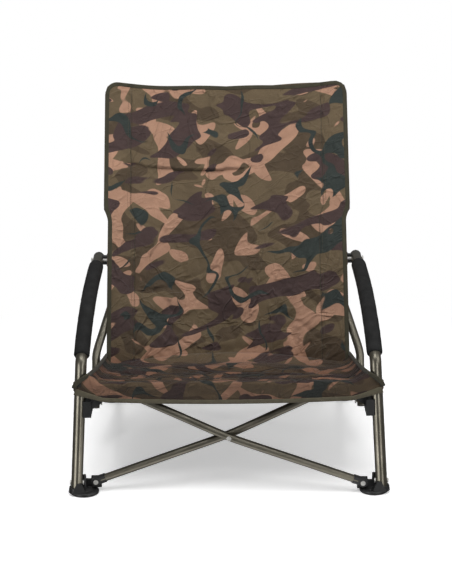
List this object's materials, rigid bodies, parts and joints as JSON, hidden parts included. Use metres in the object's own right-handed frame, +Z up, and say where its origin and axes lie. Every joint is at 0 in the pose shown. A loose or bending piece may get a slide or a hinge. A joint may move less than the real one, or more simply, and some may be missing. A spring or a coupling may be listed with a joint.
{
  "type": "folding sling chair",
  "caption": "Low folding chair with a fabric sling seat and reclined back, bent tube arms with foam grips, crossed bars and disc feet.",
  "frame": {"origin": "on the floor under the middle of the chair", "axes": "+X to the right seen from the front, +Y towards the back, +Z up"},
  "size_m": [0.6154, 0.669, 0.7057],
  "materials": {
    "frame_tube": "satin olive bronze powder coat",
    "foam": "matt closed-cell foam",
    "black_plastic": "moulded, matt",
    "bright_steel": "bright",
    "camouflage_cloth": "woven polyester",
    "webbing": "woven tape"
  },
  "bodies": {
    "left_frame": {"left_leg_arm_tube": "frame_tube", "left_arm_foam": "foam", "left_arm_end_plug": "black_plastic", "left_upright": "frame_tube", "left_upright_cap": "black_plastic", "left_upright_bolt": "bright_steel", "left_upright_spacer": "black_plastic", "left_arm_bracket": "black_plastic", "left_arm_bolt": "bright_steel", "left_rear_leg": "frame_tube", "left_block_bolt": "bright_steel", "left_front_block": "black_plastic", "left_rear_saddle": "black_plastic", "left_front_foot": "black_plastic", "left_front_pin": "bright_steel", "left_leg_rivet": "bright_steel", "left_rear_foot": "black_plastic", "left_rear_pin": "bright_steel", "left_seat_webbing": "webbing", "back_sling": "camouflage_cloth", "seat_sling": "camouflage_cloth", "seat_valance": "camouflage_cloth"},
    "front_left_cross_bar": {"front_centre_rivet": "bright_steel", "front_left_bar": "frame_tube", "front_left_bar_fitting": "black_plastic", "front_left_bar_cap": "black_plastic"},
    "front_right_cross_bar": {"front_right_bar": "frame_tube", "front_right_bar_fitting": "black_plastic", "front_right_bar_cap": "black_plastic"},
    "right_frame": {"right_leg_arm_tube": "frame_tube", "right_arm_foam": "foam", "right_arm_end_plug": "black_plastic", "right_upright": "frame_tube", "right_upright_cap": "black_plastic", "right_upright_bolt": "bright_steel", "right_upright_spacer": "black_plastic", "right_arm_bracket": "black_plastic", "right_arm_bolt": "bright_steel", "right_rear_leg": "frame_tube", "right_block_bolt": "bright_steel", "right_front_block": "black_plastic", "right_rear_saddle": "black_plastic", "right_front_foot": "black_plastic", "right_front_pin": "bright_steel", "right_leg_rivet": "bright_steel", "right_rear_foot": "black_plastic", "right_rear_pin": "bright_steel", "right_seat_webbing": "webbing"},
    "rear_left_cross_bar": {"rear_centre_rivet": "bright_steel", "rear_left_bar": "frame_tube", "rear_left_bar_fitting": "black_plastic", "rear_left_bar_cap": "black_plastic"},
    "rear_right_cross_bar": {"rear_right_bar": "frame_tube", "rear_right_bar_fitting": "black_plastic", "rear_right_bar_cap": "black_plastic"}
  },
  "joints": [
    {"name": "fold", "type": "hinge", "parent": "left_frame", "child": "front_left_cross_bar", "pos_m": [-0.2565, -0.29712, 0.021], "axis": [0, -1, 0], "range_deg": [0, 56], "deforming": ["back_sling", "seat_sling", "seat_valance"]},
    {"name": "front_centre", "type": "hinge", "parent": "front_left_cross_bar", "child": "front_right_cross_bar", "pos_m": [0, -0.30532, 0.1135], "axis": [0, -1, 0], "range_deg": [-113, 0]},
    {"name": "front_right_foot", "type": "hinge", "parent": "front_right_cross_bar", "child": "right_frame", "pos_m": [0.2565, -0.31352, 0.021], "axis": [0, -1, 0], "range_deg": [0, 57]},
    {"name": "rear_left_foot", "type": "hinge", "parent": "left_frame", "child": "rear_left_cross_bar", "pos_m": [-0.2565, 0.26148, 0.036], "axis": [0, -0.2463, -0.9692], "range_deg": [0, 57]},
    {"name": "rear_centre", "type": "hinge", "parent": "rear_left_cross_bar", "child": "rear_right_cross_bar", "pos_m": [0, 0.17183, 0.05878], "axis": [0, -0.2463, -0.9692], "range_deg": [-113, 0]}
  ],
  "couplings": [
    {"joint": "front_centre", "follows": "fold", "ratio": -2},
    {"joint": "front_right_foot", "follows": "fold", "ratio": 1},
    {"joint": "rear_left_foot", "follows": "fold", "ratio": 1},
    {"joint": "rear_centre", "follows": "fold", "ratio": -2}
  ]
}
